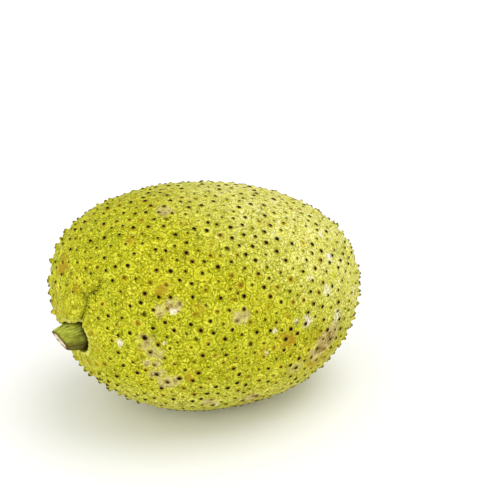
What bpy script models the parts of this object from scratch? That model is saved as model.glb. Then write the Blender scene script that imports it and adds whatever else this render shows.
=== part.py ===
"""A breadfruit lying on its side, with the stub of its cut stem.

Metres, +Z up. The fruit's long axis runs along X with the stem end at -X, and the origin is on the
surface that the fruit rests on, under the middle of its box.
"""

import math

import bmesh
import bpy
import numpy as np

MM = 0.001


def unit(vectors):
    return vectors / np.linalg.norm(vectors, axis=-1, keepdims=True)


# The fruit without its bumps: half its length, breadth and height, then how it departs from an ellipsoid.
HALF_SIZE = np.array([99.2, 72.1, 69.7]) * MM
SQUARENESS = 2.17  # exponent of the superellipsoid; 2 would be an ellipsoid
TAPER = 0.042  # share by which the stem end is thicker than the middle, and the far end thinner
ENDS_UP = 0.077  # share of the half height by which both ends rise above the middle
STEM_END_UP = 0.061  # share of the half length by which the stem end rises further
SWELLS = 5  # broad, slight swellings of the body
SWELL_HEIGHT = 0.45 * MM
SWELL_WAVES = 2.6  # typical number of radians of a swelling's wave across the half length
FLAT_SPOT_DEPTH = 1.3 * MM  # how far the fruit's weight has pressed its lowest point in

# The skin is made of flat florets, and each ends in a bump: a small spike, or only a low swelling.
FLORETS = 1700
SEED = 7
SCATTER = 0.30  # how far a floret strays from its even place, as a share of the spacing
SETTLE_ROUNDS = 2
SPIKE_SHARE = 0.80
SPIKE_SIDES = 3
SPIKE_BASE_RADIUS = 1.7 * MM
SPIKE_HEIGHT_BELLY = 0.8 * MM
SPIKE_HEIGHT_ENDS = 2.1 * MM
SPIKE_HEIGHT_SPREAD = 0.22
LEAST_SPIKE = 0.4 * MM
LOW_HEIGHT = 0.25  # height of a low swelling, as a share of a spike's
SPIKES_GROW_OUT = (0.4, 0.9)  # shares of the half length between which they grow from belly to end height
LEAST_AND_MOST = (0.5, 1.5)  # bounds of the random spread
PRESSED_FLAT = 2.0 * MM  # florets this near to the lowest point have no spike
GOLDEN_ANGLE = math.pi * (3 - math.sqrt(5))
SPIRAL_STATIONS = 4001
EVEN_TURN = 0.01  # an edge isn't turned for less than this, in radians
NORMAL_STEP = 0.004  # in radians

# The recess round the stem: where it is on the body, which way it opens, and its shape.
RECESS_DIRECTION = unit(np.array([-0.968, -0.222, -0.105]))
RECESS_AXIS = unit(np.array([-0.955, -0.280, -0.085]))
RECESS_DEPTH = 8.5 * MM
RECESS_FLOOR_RADIUS = 10.8 * MM
RECESS_MOUTH_RADIUS = 11.8 * MM
SHOULDER_RADIUS = 30.0 * MM  # the skin already dips inwards from here
SHOULDER_DIP = 2.0 * MM
FLORET_RADIUS = 16.5 * MM  # no florets nearer to the stem than this
BUMPS_FADE = (14.0 * MM, 28.0 * MM)  # and they grow to full height between these distances
RECESS_RINGS = (RECESS_FLOOR_RADIUS, RECESS_MOUTH_RADIUS, 13.9 * MM)  # where the bare skin has its points
RECESS_SIDES = 20
RING_ROUNDS = 12  # rounds of bringing those points onto their rings

# The lobe of the shoulder that bulges over the stem: where it is round the stem, how far round it is full
# and where it is gone, how far it leans in and stands out, and how far out from the recess it starts.
LOBE_TURN = math.radians(124)
LOBE_FULL = math.radians(42)
LOBE_GONE = math.radians(70)
LOBE_LEAN = 2.8 * MM
LOBE_RISE = 3.4 * MM
LOBE_REACH = 19.0 * MM

# Grooves that run out from the recess: (angle round the stem, depth, half width, full from, gone at).
FOLD = (math.radians(64), 2.4 * MM, 3.2 * MM, 16.0 * MM, 42.0 * MM)
TROUGH = (math.radians(201), 7.5 * MM, 7.5 * MM, 14.0 * MM, 60.0 * MM)

# The stem: sunk in a plain socket in the floor of the recess, thickest where it leaves the recess, and cut
# across aslant. Its foot is off the middle of the floor, on the side away from the lobe.
STEM_ROOT_RADIUS = 8.6 * MM
STEM_BULGE = 1.2 * MM
STEM_OFFSET_TURN = math.radians(285)
STEM_OFFSET = 1.3 * MM
STEM_CUT_RADIUS = 7.3 * MM
STEM_LENGTH = 17.0 * MM  # from the floor of the recess to the middle of the cut
STEM_CUT_NORMAL = unit(np.array([-0.868, -0.219, -0.446]))
STEM_SINK = 6.0 * MM
STEM_SIDES = 30
STEM_RINGS = 9
STEM_RIDGES = 5
STEM_RIDGE_HEIGHT = 0.5 * MM
SOCKET_GAP = 0.4 * MM  # to the socket's corners; its flat sides come closer

SKIN_COLOUR = (0.56, 0.60, 0.055, 1.0)
SKIN_ROUGHNESS = 0.5
STEM_COLOUR = (0.20, 0.24, 0.06, 1.0)
STEM_ROUGHNESS = 0.7
SHARP_EDGE = math.radians(34)


def clear_scene():
    for obj in list(bpy.data.objects):
        bpy.data.objects.remove(obj)


def smooth_step(low, high, value):
    """0 below low, 1 above high, and a smooth curve between them."""
    share = np.clip((value - low) / (high - low), 0.0, 1.0)
    return share * share * (3.0 - 2.0 * share)


# ---- the body -------------------------------------------------------------------------------------------


def swelling(directions):
    """How far the broad swellings push the body out in these directions."""
    draw = np.random.default_rng(SEED)
    height = np.zeros(len(directions))
    for _ in range(SWELLS):
        wave = draw.normal(0.0, SWELL_WAVES, 3)
        height += SWELL_HEIGHT * np.sin(directions @ wave + draw.uniform(0.0, math.tau))
    return height


def oval(directions):
    """The whole, unmarked body's surface in these directions from its middle."""
    along = (np.abs(directions / HALF_SIZE) ** SQUARENESS).sum(axis=1)
    points = directions * (along ** (-1.0 / SQUARENESS))[:, None]
    share = points[:, 0] / HALF_SIZE[0]
    points[:, 1:] *= (1.0 - TAPER * share)[:, None]
    points[:, 2] += ENDS_UP * HALF_SIZE[2] * share**2 - STEM_END_UP * HALF_SIZE[0] * share
    return points + directions * swelling(directions)[:, None]


RECESS_CENTRE = oval(RECESS_DIRECTION[None, :])[0]
# Two directions across the recess: one level, towards the fruit's near side, and one up.
RECESS_SIDE = unit(np.cross([0.0, 0.0, 1.0], RECESS_AXIS))
RECESS_UP = np.cross(RECESS_AXIS, RECESS_SIDE)


def round_stem(turn):
    """Directions across the recess at these angles round the stem."""
    return np.multiply.outer(np.cos(turn), RECESS_SIDE) + np.multiply.outer(np.sin(turn), RECESS_UP)


OFF_MIDDLE = STEM_OFFSET * round_stem(STEM_OFFSET_TURN)
STEM_FOOT = RECESS_CENTRE - RECESS_AXIS * RECESS_DEPTH + OFF_MIDDLE


def across_recess(points):
    """Each point's place across the recess's axis, along its side and up directions."""
    offset = points - RECESS_CENTRE
    return offset @ RECESS_SIDE, offset @ RECESS_UP


def from_stem(points):
    """Each point's distance from the stem's axis, where the far end of the fruit counts as far away."""
    side, up = across_recess(points)
    return np.where(points @ RECESS_AXIS > 0.0, np.hypot(side, up), HALF_SIZE[0])


def groove(points, angle, depth, half_width, full_from, gone_at):
    """How deep a groove is at these points: it starts in the recess, runs outwards and dies out."""
    side, up = across_recess(points)
    radius = from_stem(points)
    along = side * math.cos(angle) + up * math.sin(angle)
    across = up * math.cos(angle) - side * math.sin(angle)
    reach = smooth_step(0.0, full_from, along) * (1.0 - smooth_step(full_from, gone_at, radius))
    return depth * np.exp(-((across / half_width) ** 4)) * reach


def lobe_push(points):
    """How the lobe moves these points: in over the stem and outwards."""
    side, up = across_recess(points)
    radius = from_stem(points)
    turn = np.arctan2(up, side)
    share = smooth_step(math.cos(LOBE_GONE), math.cos(LOBE_FULL), np.cos(turn - LOBE_TURN))
    share *= smooth_step(RECESS_FLOOR_RADIUS, RECESS_MOUTH_RADIUS, radius)
    share *= 1.0 - smooth_step(RECESS_MOUTH_RADIUS, RECESS_MOUTH_RADIUS + LOBE_REACH, radius)
    return share[:, None] * (LOBE_RISE * RECESS_AXIS - LOBE_LEAN * round_stem(turn))


def body(directions):
    """The body's surface with the recess round the stem, its lobe and the grooves that run out from it."""
    points = oval(directions)
    radius = from_stem(points)
    inside = 1.0 - smooth_step(RECESS_FLOOR_RADIUS, RECESS_MOUTH_RADIUS, radius)
    shoulder = 1.0 - smooth_step(0.0, SHOULDER_RADIUS, radius)
    # The floor is flat and square to the axis, so there the height of the oval is taken off too.
    height = (points - RECESS_CENTRE) @ RECESS_AXIS
    sink = inside * (RECESS_DEPTH + height) + (1.0 - inside) * SHOULDER_DIP * shoulder
    grooves = (1.0 - inside) * (groove(points, *FOLD) + groove(points, *TROUGH))
    return points + lobe_push(points) - RECESS_AXIS * sink[:, None] - directions * grooves[:, None]


def outward(directions):
    """Outward normals of the body, from two small steps to the side of each direction."""
    pole = np.where(np.abs(directions[:, :1]) < 0.8, [[1.0, 0.0, 0.0]], [[0.0, 1.0, 0.0]])
    first = unit(np.cross(directions, pole))
    second = np.cross(directions, first)
    here = body(directions)
    one_way = body(unit(directions + NORMAL_STEP * first)) - here
    other_way = body(unit(directions + NORMAL_STEP * second)) - here
    return unit(np.cross(one_way, other_way))


# ---- the florets ----------------------------------------------------------------------------------------


def spiral_florets():
    """Directions spread evenly over the body along a golden-angle spiral, each strayed a little."""
    stations = np.linspace(-1.0, 1.0, SPIRAL_STATIONS)
    girth = (1.0 - np.abs(stations) ** SQUARENESS) ** (1.0 / SQUARENESS) * HALF_SIZE[1]
    slant = np.hypot(np.diff(stations * HALF_SIZE[0]), np.diff(girth))
    area = np.concatenate([[0.0], np.cumsum(slant * (girth[1:] + girth[:-1]) * math.pi)])
    number = np.arange(FLORETS) + 0.5
    share = np.interp(number / FLORETS * area[-1], area, stations)
    radius = np.interp(share, stations, girth)
    turn = number * GOLDEN_ANGLE
    spots = np.stack([share * HALF_SIZE[0], radius * np.cos(turn), radius * np.sin(turn)], axis=1)
    spacing = math.sqrt(area[-1] / FLORETS)
    spots += np.random.default_rng(SEED).normal(0.0, SCATTER * spacing / math.sqrt(3.0), spots.shape)
    return unit(spots)


def recess_directions():
    """Directions of the bare skin's points in the recess, which lie on rings round the stem."""
    turn = np.arange(RECESS_SIDES) * math.tau / RECESS_SIDES
    circle = np.stack([np.cos(turn), np.sin(turn)], axis=1)
    wanted = np.concatenate([circle * radius for radius in RECESS_RINGS])
    directions = np.repeat(RECESS_DIRECTION[None, :], len(wanted), axis=0)
    for _ in range(RING_ROUNDS):
        points = oval(directions)
        missing = wanted - np.stack(across_recess(points), axis=1)
        size = np.linalg.norm(points, axis=1, keepdims=True)
        directions = unit(directions * size + missing[:, :1] * RECESS_SIDE + missing[:, 1:] * RECESS_UP)
    return directions


def opposite_angle(face, edge):
    corner = next(vert for vert in face.verts if vert not in edge.verts)
    first, second = (vert.co - corner.co for vert in edge.verts)
    return first.angle(second)


def turn_long_edges(mesh):
    """Turns each edge that a shorter one could replace, until the triangles are as round as they can be."""
    turned = True
    while turned:
        turned = False
        for edge in list(mesh.edges):
            if not edge.is_valid:
                continue
            angles = sum(opposite_angle(face, edge) for face in edge.link_faces)
            if angles > math.pi + EVEN_TURN:
                turned |= bmesh.utils.edge_rotate(edge) is not None


def neighbour_mesh(directions):
    """A closed mesh of triangles that joins neighbouring points of the oval."""
    mesh = bmesh.new()
    for direction in directions:
        mesh.verts.new(direction)
    mesh.verts.ensure_lookup_table()
    mesh.verts.index_update()
    bmesh.ops.convex_hull(mesh, input=mesh.verts)
    for vert, point in zip(mesh.verts, oval(directions)):
        vert.co = point
    turn_long_edges(mesh)
    mesh.faces.index_update()
    mesh.faces.ensure_lookup_table()
    return mesh


def settle(directions, is_free):
    """Moves each free floret part of the way to the middle of its neighbours, so that none are crowded."""
    for _ in range(SETTLE_ROUNDS):
        mesh = neighbour_mesh(directions)
        moved = directions.copy()
        for vert in mesh.verts:
            if is_free[vert.index]:
                around = [edge.other_vert(vert).index for edge in vert.link_edges]
                moved[vert.index] += directions[around].mean(axis=0)
        mesh.free()
        directions = unit(moved)
    return directions


def skin_directions():
    """(directions of all the skin's points, which of them are florets): florets first, then the recess."""
    florets = spiral_florets()
    florets = florets[from_stem(oval(florets)) > FLORET_RADIUS]
    bare = recess_directions()
    is_floret = np.arange(len(florets) + len(bare)) < len(florets)
    return settle(np.concatenate([florets, bare]), is_floret), is_floret


def bump_heights(directions, is_floret):
    """(heights, which are spikes): higher towards the ends, uneven, and fading out towards the recess."""
    draw = np.random.default_rng(SEED)
    points = oval(directions)
    ends = smooth_step(*SPIKES_GROW_OUT, np.abs(points[:, 0]) / HALF_SIZE[0])
    height = SPIKE_HEIGHT_BELLY + (SPIKE_HEIGHT_ENDS - SPIKE_HEIGHT_BELLY) * ends
    height *= np.clip(draw.normal(1.0, SPIKE_HEIGHT_SPREAD, len(points)), *LEAST_AND_MOST)
    height *= is_floret * smooth_step(*BUMPS_FADE, from_stem(points))
    is_spike = (draw.uniform(size=len(points)) < SPIKE_SHARE) & (height > LEAST_SPIKE)
    is_spike &= points[:, 2] > points[:, 2].min() + PRESSED_FLAT
    return np.where(is_spike, height, LOW_HEIGHT * height), is_spike


def faces_round(vert):
    """The faces round a vertex of a closed mesh, in order."""
    ring, loop = [], vert.link_loops[0]
    while not ring or loop != vert.link_loops[0]:
        ring.append(loop.face)
        loop = loop.link_loop_prev.link_loop_radial_next
    return ring


# ---- the pieces -----------------------------------------------------------------------------------------


def new_material(name, colour, roughness):
    material = bpy.data.materials.new(name)
    material.use_nodes = True
    shader = material.node_tree.nodes["Principled BSDF"]
    shader.inputs["Base Color"].default_value = colour
    shader.inputs["Roughness"].default_value = roughness
    shader.inputs["Metallic"].default_value = 0.0
    return material


def new_object(name, points, faces, material, location):
    mesh = bpy.data.meshes.new(name)
    mesh.from_pydata(np.asarray(points).tolist(), [], faces)
    mesh.validate()
    mesh.materials.append(material)
    mesh.shade_smooth()
    mesh.set_sharp_from_angle(angle=SHARP_EDGE)
    obj = bpy.data.objects.new(name, mesh)
    obj.location = location
    bpy.context.collection.objects.link(obj)
    return obj


def make_skin():
    """(points, faces) of the whole skin: spikes stand on small bases, and the rest is one point a floret.

    A spike's base has a corner for each third of the faces round its floret. Each face of the mesh that
    joins the florets then ends in one corner of each base, and strips along its edges close the gaps.
    """
    directions, is_floret = skin_directions()
    heights, is_spike = bump_heights(directions, is_floret)
    mesh = neighbour_mesh(directions)
    corners = np.array([[vert.index for vert in face.verts] for face in mesh.faces])
    middles = unit(directions[corners].sum(axis=1))
    peaks = body(directions) + outward(directions) * heights[:, None]
    bases, faces, corner_of = [], [], {}
    for vert in mesh.verts:
        here = vert.index
        ring = [face.index for face in faces_round(vert)]
        if not is_spike[here]:
            corner_of.update({(here, face): here for face in ring})
            continue
        first = len(directions) + len(bases)
        angle = SPIKE_BASE_RADIUS / np.linalg.norm(peaks[here])
        for side in range(SPIKE_SIDES):
            group = [face for number, face in enumerate(ring) if number * SPIKE_SIDES // len(ring) == side]
            corner_of.update({(here, face): first + side for face in group})
            lean = unit(unit(middles[group].sum(axis=0)) - directions[here])
            bases.append(unit(directions[here] + angle * lean))
            faces.append((here, first + side, first + (side + 1) % SPIKE_SIDES))
    rim = range(int(is_floret.sum()), int(is_floret.sum()) + RECESS_SIDES)
    for face in mesh.faces:
        if not all(vert.index in rim for vert in face.verts):
            faces.append(tuple(corner_of[vert.index, face.index] for vert in face.verts))
    for edge in mesh.edges:
        faces += edge_strip(edge, corner_of)
    mesh.free()
    points = np.concatenate([peaks, body(np.array(bases))])
    socket, socket_faces = make_socket(rim, len(points))
    return np.concatenate([points, socket]), faces + socket_faces


def edge_strip(edge, corner_of):
    """The faces that fill the gap between the two faces at an edge, where their corners differ."""
    loop = edge.link_loops[0]
    start, end = loop.vert.index, loop.link_loop_next.vert.index
    one, other = loop.face.index, loop.link_loop_radial_next.face.index
    ring = [corner_of[start, one], corner_of[start, other], corner_of[end, other], corner_of[end, one]]
    strip = [corner for number, corner in enumerate(ring) if corner != ring[number - 1]]
    if len(strip) == 4:
        return [(strip[0], strip[1], strip[2]), (strip[0], strip[2], strip[3])]
    return [tuple(strip)] if len(strip) == 3 else []


def ring_round_stem(radius, height, sides):
    """Points round the stem's axis, from its foot; the radius and the height may differ for each point."""
    return round_stem(np.arange(sides) * math.tau / sides) * radius + RECESS_AXIS * height


def tube_faces(rings):
    """Faces of the tube that joins these rings of point numbers; they point outwards if the rings go up."""
    faces = []
    for low, high in zip(rings, rings[1:]):
        for side in range(len(low)):
            before = side - 1
            faces.append((low[before], low[side], high[side], high[before]))
    return faces


def make_socket(rim, first):
    """(points, faces) of the plain round hole that the stem stands in, from the rim of the recess's floor."""
    radius = STEM_ROOT_RADIUS + SOCKET_GAP
    mouth = ring_round_stem(radius, 0.0, RECESS_SIDES)
    bottom = ring_round_stem(radius, -STEM_SINK - SOCKET_GAP, RECESS_SIDES)
    mouth_ring = list(range(first, first + RECESS_SIDES))
    bottom_ring = list(range(first + RECESS_SIDES, first + 2 * RECESS_SIDES))
    # The rings are listed downwards, so that the faces of the hole point into it.
    faces = tube_faces([list(rim), mouth_ring, bottom_ring]) + [tuple(bottom_ring)]
    return STEM_FOOT + np.concatenate([mouth, bottom]), faces


def make_stem():
    """(points, faces) of the stem, from its foot, up to its slanting cut and down to the socket's bottom."""
    turn = np.arange(STEM_SIDES)[:, None] * math.tau / STEM_SIDES
    ridges = STEM_RIDGE_HEIGHT * (np.cos(STEM_RIDGES * turn) - 1.0)
    rings = [ring_round_stem(STEM_ROOT_RADIUS + ridges, -STEM_SINK, STEM_SIDES)]
    for share in np.linspace(0.0, 1.0, STEM_RINGS):
        radius = STEM_ROOT_RADIUS + (STEM_CUT_RADIUS - STEM_ROOT_RADIUS) * share
        radius += STEM_BULGE * math.sin(math.pi * share)
        level = ring_round_stem(radius + ridges, 0.0, STEM_SIDES)
        to_cut = (RECESS_AXIS * STEM_LENGTH - level) @ STEM_CUT_NORMAL / (RECESS_AXIS @ STEM_CUT_NORMAL)
        ring = ring_round_stem(radius + ridges, share * to_cut[:, None], STEM_SIDES)
        rings.append(ring - share * OFF_MIDDLE)
    points = np.concatenate(rings)
    ring_numbers = np.arange(len(points)).reshape(-1, STEM_SIDES).tolist()
    faces = tube_faces(ring_numbers) + [tuple(ring_numbers[0][::-1]), tuple(ring_numbers[-1])]
    return points, faces


def main():
    clear_scene()
    skin_points, skin_faces = make_skin()
    stem_points, stem_faces = make_stem()
    # The fruit is pressed flat where it rests, and the middle of the whole box stands over the origin.
    floor = skin_points[:, 2].min() + FLAT_SPOT_DEPTH
    skin_points[:, 2] = np.maximum(skin_points[:, 2], floor)
    ends = np.concatenate([skin_points, stem_points + STEM_FOOT])
    middle = (ends.min(axis=0) + ends.max(axis=0)) / 2.0
    lift = (-middle[0], -middle[1], -floor)
    skin_material = new_material("skin", SKIN_COLOUR, SKIN_ROUGHNESS)
    stem_material = new_material("stem_fibre", STEM_COLOUR, STEM_ROUGHNESS)
    fruit = new_object("fruit", skin_points, skin_faces, skin_material, lift)
    stem = new_object("stem", stem_points, stem_faces, stem_material, STEM_FOOT)
    stem.parent = fruit


main()
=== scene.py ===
"""The looks of a breadfruit lying on its side, with the stub of its cut stem.

The CAD's fruit and stem are each replaced by a finer mesh of the same form. Lengths are in metres, +Z is
up, and the fruit's long axis runs along X. The form is worked out round the body's middle, then lifted.
"""

import math

import bmesh
import bpy
import numpy as np
from mathutils import Matrix, Vector


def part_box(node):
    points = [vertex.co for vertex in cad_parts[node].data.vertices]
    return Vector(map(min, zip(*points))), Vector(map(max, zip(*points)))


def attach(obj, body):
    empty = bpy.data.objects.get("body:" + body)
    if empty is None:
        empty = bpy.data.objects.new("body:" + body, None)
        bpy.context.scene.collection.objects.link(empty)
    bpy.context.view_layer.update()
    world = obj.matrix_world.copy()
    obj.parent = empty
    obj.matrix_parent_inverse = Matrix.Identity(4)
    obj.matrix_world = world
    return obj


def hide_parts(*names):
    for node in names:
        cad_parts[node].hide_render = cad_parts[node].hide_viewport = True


MM = 0.001


def unit(vectors):
    return vectors / np.linalg.norm(vectors, axis=-1, keepdims=True)


def colour(red, green, blue):
    """A shader's colour from the 0 to 255 values that a screen shows."""
    levels = np.array([red, green, blue]) / 255.0
    linear = np.where(levels <= 0.04045, levels / 12.92, ((levels + 0.055) / 1.055) ** 2.4)
    return (*linear.tolist(), 1.0)


# ---- sizes that the CAD model has too ----

# The fruit without its bumps: half its length, breadth and height, then how it departs from an ellipsoid.
HALF_SIZE = np.array([99.2, 72.1, 69.7]) * MM
SQUARENESS = 2.17  # exponent of the superellipsoid; 2 would be an ellipsoid
TAPER = 0.042  # share by which the stem end is thicker than the middle, and the far end thinner
ENDS_UP = 0.077  # share of the half height by which both ends rise above the middle
STEM_END_UP = 0.061  # share of the half length by which the stem end rises further
SWELLS = 5  # broad, slight swellings of the body
SWELL_HEIGHT = 0.45 * MM
SWELL_WAVES = 2.6  # typical radians of a swelling's wave across the half length

# The skin is made of flat florets, and each ends in a bump: a small spike, or only a low swelling.
FLORETS = 1700
SEED = 7
SCATTER = 0.30  # how far a floret strays from its even place, as a share of the spacing
SETTLE_ROUNDS = 2
SPIKE_SHARE = 0.80
SPIKE_HEIGHT_BELLY = 0.8 * MM
SPIKE_HEIGHT_ENDS = 2.1 * MM
SPIKE_HEIGHT_SPREAD = 0.22
LEAST_SPIKE = 0.4 * MM
LOW_HEIGHT = 0.25  # height of a low swelling, as a share of a spike's
SPIKES_GROW_OUT = (0.4, 0.9)  # shares of the half length between which they grow higher
LEAST_AND_MOST = (0.5, 1.5)  # bounds of the random spread
PRESSED_FLAT = 2.0 * MM  # florets this near to the lowest point have no spike
GOLDEN_ANGLE = math.pi * (3 - math.sqrt(5))
SPIRAL_STATIONS = 4001
EVEN_TURN = 0.01  # an edge isn't turned for less than this, in radians
NORMAL_STEP = 0.004  # in radians

# The recess round the stem: where it is on the body, which way it opens, and its shape.
RECESS_DIRECTION = unit(np.array([-0.968, -0.222, -0.105]))
RECESS_AXIS = unit(np.array([-0.955, -0.280, -0.085]))
RECESS_DEPTH = 8.5 * MM
RECESS_FLOOR_RADIUS = 10.8 * MM
RECESS_MOUTH_RADIUS = 11.8 * MM
SHOULDER_RADIUS = 30.0 * MM  # the skin already dips inwards from here
SHOULDER_DIP = 2.0 * MM
FLORET_RADIUS = 16.5 * MM  # no florets nearer to the stem than this
BUMPS_FADE = (14.0 * MM, 28.0 * MM)  # and they grow to full height between these distances
RECESS_RINGS = (RECESS_FLOOR_RADIUS, RECESS_MOUTH_RADIUS, 13.9 * MM)  # where the bare skin has its points
RECESS_SIDES = 20
RING_ROUNDS = 12  # rounds of bringing those points onto their rings

# The lobe of the shoulder that bulges over the stem: where it is round the stem, how far round it is full
# and gone, how far it leans in and stands out, and how far it reaches from the recess.
LOBE_TURN = math.radians(124)
LOBE_FULL = math.radians(42)
LOBE_GONE = math.radians(70)
LOBE_LEAN = 2.8 * MM
LOBE_RISE = 3.4 * MM
LOBE_REACH = 19.0 * MM

# Grooves that run out from the recess: (angle round the stem, depth, half width, full from, gone at).
FOLD = (math.radians(64), 2.4 * MM, 3.2 * MM, 16.0 * MM, 42.0 * MM)
TROUGH = (math.radians(201), 7.5 * MM, 7.5 * MM, 14.0 * MM, 60.0 * MM)

# The stem: thickest where it leaves the recess, and cut across aslant. Its foot is off the middle of the
# floor, on the side away from the lobe.
STEM_ROOT_RADIUS = 8.6 * MM
STEM_BULGE = 1.2 * MM
STEM_OFFSET_TURN = math.radians(285)
STEM_OFFSET = 1.3 * MM
STEM_CUT_RADIUS = 7.3 * MM
STEM_LENGTH = 17.0 * MM  # from the floor of the recess to the middle of the cut
STEM_CUT_NORMAL = unit(np.array([-0.868, -0.219, -0.446]))
STEM_RIDGES = 5
STEM_RIDGE_HEIGHT = 0.5 * MM

# ---- sizes of the finer detail ----

FLOOR_RINGS = ((0.0, 1), (5.0 * MM, 8))  # points on the floor of the recess: (radius, how many)
VALLEY_DEPTH = 0.34 * MM  # of the seams between florets
SEAM_WAVER = 0.16  # how far the middle of a seam strays, as a share of its length
DOME_EDGE = 0.74  # share of the way to the seam where a floret starts to fall away into it
# Rings of a floret's nub, from its foot up: (radius, share of the nub's height).
NUB_RINGS = ((2.1 * MM, 0.05), (1.35 * MM, 0.33), (0.72 * MM, 0.86))
NUB_MOST = 0.7  # share of the way to the seam that the foot of a nub may reach
BARE_RINGS = (0.75, 0.5, 0.25)  # shares of the way to the seam, where there is no nub
NO_TIP = 16.5 * MM  # stands for the distance from a tip where there is none

# Creases of the shoulder, as corners of their lines: (side, up) across the recess, in mm.
CREASES = (
    ((6.9, 12.6), (10.6, 19.5), (12.1, 24.5), (12.6, 29.5), (18.0, 32.5), (18.4, 37.0)),
    ((12.3, 27.0), (8.5, 30.0)),
)
CREASE_DEPTH = 1.1 * MM
CREASE_STEP = 2.2 * MM  # between the points on each side of a crease
CREASE_APART = 1.4 * MM  # from a crease to the points on its sides
CREASE_WIDTH = 0.9 * MM  # points of the seams this near to a crease are its own
CREASE_SNAP = 0.8  # share of the way that they are moved onto it
CREASE_SHADE_REACH = 3.5 * MM  # painted shade darkens the skin up to here from a crease
LEAST_APART = 0.0115  # between the middles of the skin's patches, in radians

WRINKLES = 27  # folds of the skin round the stem
WRINKLE_HEIGHT = 0.22 * MM
WRINKLES_FADE = (13.0 * MM, 26.0 * MM)
WRINKLE_WAVERS = (2, 3, 5)  # waves round the stem that bend the folds

# The stem's mesh, its fibres, and the hollow and rounded edge of its cut.
STEM_SIDES = 120
STEM_RINGS = 26
STEM_SUNK = 1.0 * MM  # below the floor of the recess, out of sight
FIBRE_HEIGHT = 0.12 * MM
FIBRE_WAVES = ((17, 3.0), (29, -5.0))  # (how many go round, how far they twist along the stem)
FIBRES_AT_FOOT = 0.3  # share of their height there
FIBRES_GROW = 3.0  # by this share of it, for each length of the stem
CUT_RINGS = 9
CUT_INSET = 0.985  # size of the cut's first ring, as a share of the bark's last one
CUT_ROUNDING = 0.35 * MM
CUT_ROUNDS_FROM = 0.9  # share of the stem's length where its edge starts to round
CUT_HOLLOW = 0.5 * MM
CUT_STEEPNESS = 4  # power of the hollow's outline


def smooth_step(low, high, value):
    """0 below low, 1 above high, and a smooth curve between them."""
    share = np.clip((value - low) / (high - low), 0.0, 1.0)
    return share * share * (3.0 - 2.0 * share)


# ---- the body ----


def swelling(directions):
    """How far the broad swellings push the body out in these directions."""
    draw = np.random.default_rng(SEED)
    height = np.zeros(len(directions))
    for _ in range(SWELLS):
        wave = draw.normal(0.0, SWELL_WAVES, 3)
        height += SWELL_HEIGHT * np.sin(directions @ wave + draw.uniform(0.0, math.tau))
    return height


def oval(directions):
    """The whole, unmarked body's surface in these directions from its middle."""
    along = (np.abs(directions / HALF_SIZE) ** SQUARENESS).sum(axis=1)
    points = directions * (along ** (-1.0 / SQUARENESS))[:, None]
    share = points[:, 0] / HALF_SIZE[0]
    points[:, 1:] *= (1.0 - TAPER * share)[:, None]
    points[:, 2] += ENDS_UP * HALF_SIZE[2] * share**2 - STEM_END_UP * HALF_SIZE[0] * share
    return points + directions * swelling(directions)[:, None]


RECESS_CENTRE = oval(RECESS_DIRECTION[None, :])[0]
RECESS_SIDE = unit(np.cross([0.0, 0.0, 1.0], RECESS_AXIS))
RECESS_UP = np.cross(RECESS_AXIS, RECESS_SIDE)


def round_stem(turn):
    """Directions across the recess at these angles round the stem."""
    return np.multiply.outer(np.cos(turn), RECESS_SIDE) + np.multiply.outer(np.sin(turn), RECESS_UP)


OFF_MIDDLE = STEM_OFFSET * round_stem(STEM_OFFSET_TURN)
STEM_FOOT = RECESS_CENTRE - RECESS_AXIS * RECESS_DEPTH + OFF_MIDDLE


def across_recess(points):
    """Each point's place across the recess's axis: to the side, and up."""
    offset = points - RECESS_CENTRE
    return offset @ RECESS_SIDE, offset @ RECESS_UP


def from_stem(points):
    """Each point's distance from the stem's axis; the far end of the fruit counts as far away."""
    side, up = across_recess(points)
    return np.where(points @ RECESS_AXIS > 0.0, np.hypot(side, up), HALF_SIZE[0])


def groove(points, angle, depth, half_width, full_from, gone_at):
    """How deep a groove is at these points: it starts in the recess, runs outwards and dies out."""
    side, up = across_recess(points)
    radius = from_stem(points)
    along = side * math.cos(angle) + up * math.sin(angle)
    across = up * math.cos(angle) - side * math.sin(angle)
    reach = smooth_step(0.0, full_from, along) * (1.0 - smooth_step(full_from, gone_at, radius))
    return depth * np.exp(-((across / half_width) ** 4)) * reach


def lobe_push(points):
    """How the lobe moves these points: in over the stem and outwards."""
    side, up = across_recess(points)
    radius = from_stem(points)
    turn = np.arctan2(up, side)
    share = smooth_step(math.cos(LOBE_GONE), math.cos(LOBE_FULL), np.cos(turn - LOBE_TURN))
    share *= smooth_step(RECESS_FLOOR_RADIUS, RECESS_MOUTH_RADIUS, radius)
    share *= 1.0 - smooth_step(RECESS_MOUTH_RADIUS, RECESS_MOUTH_RADIUS + LOBE_REACH, radius)
    return share[:, None] * (LOBE_RISE * RECESS_AXIS - LOBE_LEAN * round_stem(turn))


def body(directions):
    """The body's surface with its recess, lobe and grooves."""
    points = oval(directions)
    radius = from_stem(points)
    inside = 1.0 - smooth_step(RECESS_FLOOR_RADIUS, RECESS_MOUTH_RADIUS, radius)
    shoulder = 1.0 - smooth_step(0.0, SHOULDER_RADIUS, radius)
    height = (points - RECESS_CENTRE) @ RECESS_AXIS
    sink = inside * (RECESS_DEPTH + height) + (1.0 - inside) * SHOULDER_DIP * shoulder
    grooves = (1.0 - inside) * (groove(points, *FOLD) + groove(points, *TROUGH))
    return points + lobe_push(points) - RECESS_AXIS * sink[:, None] - directions * grooves[:, None]


def outward(directions):
    """Outward normals of the body, from two small steps to the side."""
    pole = np.where(np.abs(directions[:, :1]) < 0.8, [[1.0, 0.0, 0.0]], [[0.0, 1.0, 0.0]])
    first = unit(np.cross(directions, pole))
    second = np.cross(directions, first)
    here = body(directions)
    one_way = body(unit(directions + NORMAL_STEP * first)) - here
    other_way = body(unit(directions + NORMAL_STEP * second)) - here
    return unit(np.cross(one_way, other_way))


# ---- the florets, as in the CAD model ----


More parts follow.
